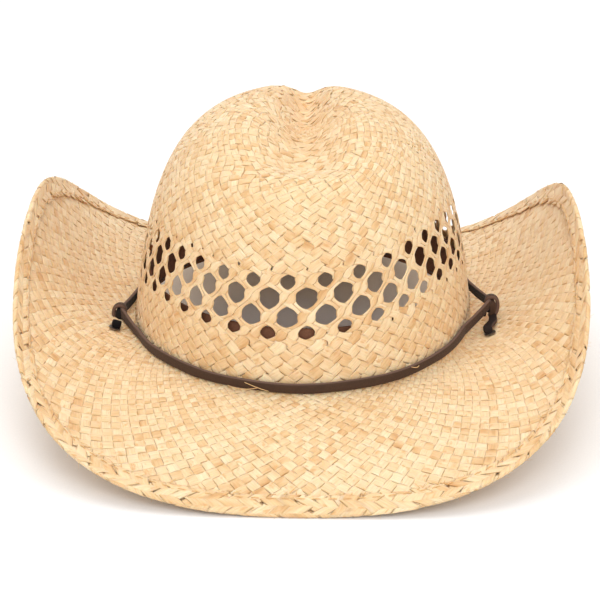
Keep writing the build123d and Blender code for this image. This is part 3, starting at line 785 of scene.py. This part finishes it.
class Graph:
    """Shorthand for a material's nodes."""

    def __init__(self, name):
        self.material = bpy.data.materials.new(name)
        self.material.use_nodes = True
        self.nodes, self.links = self.material.node_tree.nodes, self.material.node_tree.links
        self.shader = self.nodes["Principled BSDF"]

    def new(self, kind, **settings):
        node = self.nodes.new(kind)
        for key, value in settings.items():
            setattr(node, key, value)
        return node

    def feed(self, socket, value):
        if isinstance(value, bpy.types.NodeSocket):
            self.links.new(value, socket)
        else:
            socket.default_value = value

    def fill(self, node, **values):
        for name, value in values.items():
            self.feed(node.inputs[name.replace("_", " ")], value)

    def set(self, **values):
        self.fill(self.shader, **values)

    def attribute(self, name):
        return self.new("ShaderNodeAttribute", attribute_name=name).outputs["Vector"]

    def split(self, vector):
        node = self.new("ShaderNodeSeparateXYZ")
        self.feed(node.inputs[0], vector)
        return node.outputs

    def join(self, x, y, z):
        node = self.new("ShaderNodeCombineXYZ")
        for socket, value in zip(node.inputs, (x, y, z)):
            self.feed(socket, value)
        return node.outputs[0]

    def math(self, operation, a, b=0.0):
        node = self.new("ShaderNodeMath", operation=operation)
        self.feed(node.inputs[0], a)
        self.feed(node.inputs[1], b)
        return node.outputs[0]

    def times(self, value, factor):
        return self.math("MULTIPLY", value, factor)

    def scaled(self, value, factor, offset):
        """A value times a factor, plus an offset."""
        return self.math("ADD", self.times(value, factor), offset)

    def object_place(self):
        return self.new("ShaderNodeTexCoord").outputs["Object"]

    def noise(self, vector, scale=1.0, detail=3.0, rough=0.55):
        node = self.new("ShaderNodeTexNoise")
        self.fill(node, Vector=vector, Scale=scale, Detail=detail, Roughness=rough)
        return node.outputs["Fac"]

    def cells(self, vector, scale):
        node = self.new("ShaderNodeTexVoronoi", feature="DISTANCE_TO_EDGE")
        self.fill(node, Vector=vector, Scale=scale)
        return node.outputs["Distance"]

    def ramp(self, factor, *stops):
        node = self.new("ShaderNodeValToRGB")
        self.feed(node.inputs[0], factor)
        elements = node.color_ramp.elements
        while len(elements) < len(stops):
            elements.new(0.5)
        for element, (position, colour) in zip(elements, stops):
            element.position = position
            element.color = (*colour, 1.0) if isinstance(colour, tuple) else (colour, colour, colour, 1.0)
        return node.outputs["Color"]

    def mix(self, factor, a, b, blend="MIX"):
        node = self.new("ShaderNodeMix", data_type="RGBA", blend_type=blend)
        self.feed(node.inputs["Factor"], factor)
        colour_a, colour_b = [s for s in node.inputs if s.type == "RGBA"]
        self.feed(colour_a, (*a, 1.0) if isinstance(a, tuple) else a)
        self.feed(colour_b, (*b, 1.0) if isinstance(b, tuple) else b)
        return next(s for s in node.outputs if s.type == "RGBA")

    def bump(self, height, strength, depth):
        node = self.new("ShaderNodeBump")
        self.fill(node, Height=height, Strength=strength, Distance=depth)
        return node.outputs["Normal"]


def shaded(colour, factor):
    return tuple(factor * channel for channel in colour)


def raffia(name, shade):
    """Flat dried palm fibre: cream, with tan and orange lengths, fine streaks along each strand."""
    graph = Graph(name)
    along, across, tone = graph.split(graph.attribute("strand"))
    far = graph.times(tone, 97.0)

    def grain(along_rate, across_rate, detail=2.0):
        """Noise with rates along and across the strand, different on each strand."""
        place = graph.join(graph.times(along, along_rate), graph.times(across, across_rate), far)
        return graph.noise(place, 1.0, detail)

    streaks, fine = grain(0.10, 5.5, 4.0), grain(0.35, 14.0)
    patches, spots = grain(0.075, 0.5), grain(0.22, 0.9)
    pale, cream, straw, tan = (0.93, 0.76, 0.52), (0.88, 0.66, 0.41), (0.80, 0.55, 0.30), (0.66, 0.38, 0.16)
    white = (1.0, 1.0, 1.0)
    base = graph.ramp(graph.scaled(patches, 0.75, graph.times(tone, 0.28)),
                      (0.30, pale), (0.50, cream), (0.66, straw), (0.80, tan))
    colour = graph.mix(graph.ramp(spots, (0.60, 0.0), (0.72, 0.75)), base, (0.72, 0.43, 0.19))
    lines = graph.ramp(streaks, (0.30, (0.80, 0.72, 0.60)), (0.62, white))
    colour = graph.mix(0.7, colour, lines, "MULTIPLY")
    # Painted shade: each strand turns darker and more orange towards both its sides, where it meets its
    # neighbours.
    painted_gap_shade = graph.ramp(graph.math("ABSOLUTE", across), (0.84, white), (1.0, (0.92, 0.80, 0.62)))
    colour = graph.mix(0.8, colour, painted_gap_shade, "MULTIPLY")
    colour = graph.mix(1.0, colour, shade, "MULTIPLY")
    height = graph.scaled(streaks, 0.7, graph.times(fine, 0.3))
    graph.set(Base_Color=colour, Roughness=graph.scaled(streaks, 0.25, 0.42))
    graph.set(Normal=graph.bump(height, 0.7, 0.00035), Specular_IOR_Level=0.35)
    graph.set(Sheen_Weight=0.12, Sheen_Roughness=0.5)
    graph.set(Subsurface_Weight=0.22, Subsurface_Radius=(1.0, 0.5, 0.2), Subsurface_Scale=0.0012)
    return graph.material


def suede(name, sheen, face, edge, inner):
    """Dark brown lace: matt face, a paler top edge (partly the cut edge's colour, partly painted light from
    above) and a nearly black reverse, which is painted shade.
    """
    graph = Graph(name)
    place = graph.attribute("ribbon")
    along, out, up = graph.split(place)
    nap = graph.noise(place, 3.2, 5.0, 0.65)
    worn = graph.noise(graph.join(graph.times(along, 0.25), out, up), 0.8, 3.0)
    colour = graph.ramp(nap, (0.3, shaded(face, 0.72)), (0.7, shaded(face, 1.35)))
    colour = graph.mix(graph.times(worn, 0.35), colour, shaded(face, 2.3))
    # Painted shade: the lace's reverse, its inward side, is painted nearly black.
    back = graph.ramp(graph.times(out, -1.0), (0.35, 0.0), (0.7, 1.0))
    colour = graph.mix(back, colour, inner)
    # The top edge is paler: partly the cut edge's own colour, partly painted light falling from above.
    top = graph.scaled(nap, 0.14, up)
    colour = graph.mix(graph.ramp(top, (0.86, 0.0), (1.0, 0.85)), colour, edge)
    graph.set(Base_Color=colour, Roughness=graph.scaled(nap, 0.2, 0.62))
    graph.set(Normal=graph.bump(nap, 0.8, 0.0003), Sheen_Weight=sheen, Sheen_Roughness=0.45)
    graph.set(Specular_IOR_Level=0.1 + sheen)
    return graph.material


def glossy_leather(name, colour, grain=900.0):
    """Smooth coated leather with a fine pebbled grain; its creases are painted darker, as shade."""
    graph = Graph(name)
    place = graph.object_place()
    pebbles, mottling = graph.cells(place, grain), graph.noise(place, 60.0, 4.0)
    base = graph.ramp(mottling, (0.3, shaded(colour, 0.7)), (0.7, shaded(colour, 1.3)))
    # Painted shade: darker along the creases between the pebbles.
    base = graph.mix(graph.ramp(pebbles, (0.0, 0.5), (0.12, 0.0)), base, shaded(colour, 0.4))
    graph.set(Base_Color=base, Roughness=graph.scaled(mottling, 0.2, 0.48))
    graph.set(Normal=graph.bump(pebbles, 0.35, 0.00015), Specular_IOR_Level=0.12)
    return graph.material


def worn_metal(name):
    """Dull antiqued brass-grey metal with fine scratches and dark blotches."""
    graph = Graph(name)
    place = graph.object_place()
    blotch, scratch = graph.noise(place, 500.0, 3.0), graph.noise(place, 3500.0, 2.0)
    colour = graph.ramp(blotch, (0.3, (0.12, 0.095, 0.075)), (0.7, (0.36, 0.31, 0.26)))
    graph.set(Base_Color=colour, Metallic=1.0, Normal=graph.bump(scratch, 0.25, 0.00005))
    graph.set(Roughness=graph.scaled(blotch, 0.3, 0.25))
    return graph.material


def twisted_thread(name, dark, light, scale=1800.0):
    """Spun thread or cord: slanting plies and a little fuzz."""
    graph = Graph(name)
    place = graph.object_place()
    wave = graph.new("ShaderNodeTexWave", wave_type="BANDS", bands_direction="DIAGONAL")
    graph.fill(wave, Vector=place, Scale=scale / 6, Distortion=1.5)
    fuzz = graph.noise(place, scale, 3.0)
    colour = graph.mix(wave.outputs["Fac"], dark, light)
    colour = graph.mix(graph.times(fuzz, 0.4), colour, dark)
    graph.set(Base_Color=colour, Roughness=graph.scaled(fuzz, 0.25, 0.6))
    graph.set(Normal=graph.bump(wave.outputs["Fac"], 0.6, 0.0002), Sheen_Weight=0.2)
    return graph.material


def label_fabric(name):
    """Plain woven satin label, with nothing printed on it."""
    graph = Graph(name)
    place = graph.object_place()
    warp = graph.new("ShaderNodeTexWave", wave_type="BANDS", bands_direction="X")
    weft = graph.new("ShaderNodeTexWave", wave_type="BANDS", bands_direction="Z")
    for wave in (warp, weft):
        graph.fill(wave, Vector=place, Scale=600.0)
    threads = graph.math("MAXIMUM", warp.outputs["Fac"], weft.outputs["Fac"])
    colour = graph.ramp(threads, (0.0, (0.55, 0.52, 0.46)), (1.0, (0.82, 0.79, 0.72)))
    graph.set(Base_Color=colour, Roughness=graph.scaled(threads, 0.2, 0.4))
    graph.set(Normal=graph.bump(threads, 0.5, 0.0001), Sheen_Weight=0.3)
    return graph.material


def paper_white(name):
    """The studio's plain matt white ground."""
    graph = Graph(name)
    grain = graph.noise(graph.object_place(), 900.0, 2.0)
    graph.set(Base_Color=graph.ramp(grain, (0.3, 0.90), (0.7, 0.93)), Roughness=1.0, Specular_IOR_Level=0.0)
    return graph.material


def dress(piece, material):
    """Puts a material in every slot of a piece or of a CAD node."""
    if not piece.material_slots:
        piece.data.materials.append(material)
        return
    for place in piece.material_slots:
        place.link = "OBJECT"
        place.material = material


def attach(piece, material, slot, *nodes):
    """A new piece of the hat: its finish, its body and the CAD nodes that it stands for."""
    dress(piece, material)
    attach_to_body(piece, "root")
    if nodes:
        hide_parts(*nodes)


# ---------------------------------------------------------------- the hat

raffia_body = raffia("raffia", (1.0, 0.945, 0.90))
raffia_edge = raffia("raffia_hem", (0.99, 0.92, 0.85))
straw_thread = raffia("straw_thread", (0.97, 0.84, 0.66))
# Lace colours: face, top edge (partly painted light) and reverse (painted shade).
lace_suede = suede("suede_lace", 0.08, (0.050, 0.026, 0.015), (0.155, 0.092, 0.068), (0.009, 0.007, 0.007))
# The lace's suede again, painted darker as shade, for the ends that hang down into the eyelets.
shaded_lace_suede = suede("shaded_lace_suede", 0.0, (0.02, 0.013, 0.011), (0.09, 0.06, 0.05), (0.006, 0.005, 0.005))

for woven in build_crown():
    attach(woven, raffia_body, "raffia", "woven_crown")
attach(build_tip(), raffia_body, "raffia")
brim_pieces, hem_pieces = build_brim()
for woven in brim_pieces:
    attach(woven, raffia_body, "raffia", "woven_brim")
for folded in hem_pieces:
    attach(folded, raffia_edge, "raffia_hem", "brim_hem")
attach(build_hem_stitches(), straw_thread, "straw_thread", "hem_stitching")
attach(build_loose_fibres(), straw_thread, "raffia")

left, right = knot_angle(-1), knot_angle(1)
front_lace = build_lace("lace_front", left, right, -1, 3)
rear_lace = build_lace("lace_rear", right, left + 2 * math.pi, 1, 4)
attach(front_lace, lace_suede, "suede_lace", "band_lace_front")
attach(rear_lace, lace_suede, "suede_lace", "band_lace_rear")
for side, word in ((-1, "left"), (1, "right")):
    attach(build_knot(side), lace_suede, "suede_lace", f"band_knot_{word}")
    # The ends take the lace's suede painted darker, as shade.
    attach(build_tie(side), shaded_lace_suede, "tie_cord", f"lace_tie_{word}")

metal = worn_metal("eyelet_metal")
dark_cord = twisted_thread("tie_cord", (0.012, 0.009, 0.008), (0.05, 0.038, 0.032))
dark_thread = twisted_thread("dark_thread", (0.03, 0.015, 0.01), (0.11, 0.06, 0.04))
KEPT = {
    "brim_wire": worn_metal("edge_wire"),
    "sweatband": glossy_leather("sweatband_leather", (0.20, 0.085, 0.045)),
    "sweatband_stitching": dark_thread,
    "sweatband_seam_tab": glossy_leather("seam_tab_leather", (0.095, 0.038, 0.02), 1200.0),
    "care_label": label_fabric("label_cloth"),
    "eyelet_left": metal, "eyelet_right": metal,
    "eyelet_washer_left": metal, "eyelet_washer_right": metal,
    "tie_stopper_left": dark_cord, "tie_stopper_right": dark_cord,
}
for node, material in KEPT.items():
    dress(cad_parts[node], material)


# ---------------------------------------------------------------- studio

def build_floor():
    half = 6.0 / MM
    corners = np.array([(-half, -half, 0.0), (half, -half, 0.0), (half, half, 0.0), (-half, half, 0.0)])
    floor = make_mesh("studio_floor", corners, [(0, 1, 2, 3)])
    dress(floor, paper_white("studio_paper"))


def soft_light(name, place, size, watts):
    """A round lamp that faces the hat."""
    light = bpy.data.lights.new(name, "AREA")
    light.shape, light.size, light.energy = "DISK", size, watts
    lamp = bpy.data.objects.new(name, light)
    lamp.location = place
    lamp.rotation_euler = (Vector((0, 0, 0.08)) - Vector(place)).to_track_quat("-Z", "Y").to_euler()
    bpy.context.scene.collection.objects.link(lamp)


def build_camera():
    """Above and in front of the hat: 22 degrees over the horizon and 1.1 m away."""
    elevation, distance, roll, swing = math.radians(22.01), 1.1151, math.radians(0.47), math.radians(0.865)
    focus = Vector((0, 0, BASE_Z * MM))
    lens = bpy.data.cameras.new("camera")
    lens.sensor_width, lens.lens = 36.0, 127.8
    lens.shift_x, lens.shift_y = -0.00536, 0.02164
    camera = bpy.data.objects.new("camera", lens)
    turn = Matrix.Rotation(math.pi / 2 - elevation, 4, "X") @ Matrix.Rotation(roll, 4, "Z")
    place = Vector((0, -distance * math.cos(elevation), distance * math.sin(elevation)))
    round_ = Matrix.Rotation(swing, 4, "Z")
    camera.matrix_world = Matrix.Translation(focus) @ round_ @ Matrix.Translation(place) @ turn
    bpy.context.scene.collection.objects.link(camera)
    bpy.context.scene.camera = camera


build_floor()
world = bpy.data.worlds.new("studio")
world.use_nodes = True
sky = world.node_tree.nodes["Background"].inputs
sky["Color"].default_value = (1.0, 1.0, 1.0, 1.0)
sky["Strength"].default_value = 0.85
bpy.context.scene.world = world
soft_light("key", (0.1, -1.5, 1.3), 1.1, 13.0)
soft_light("overhead", (-0.2, 0.2, 1.9), 1.6, 11.5)
build_camera()
bpy.context.scene.view_settings.view_transform = "Standard"
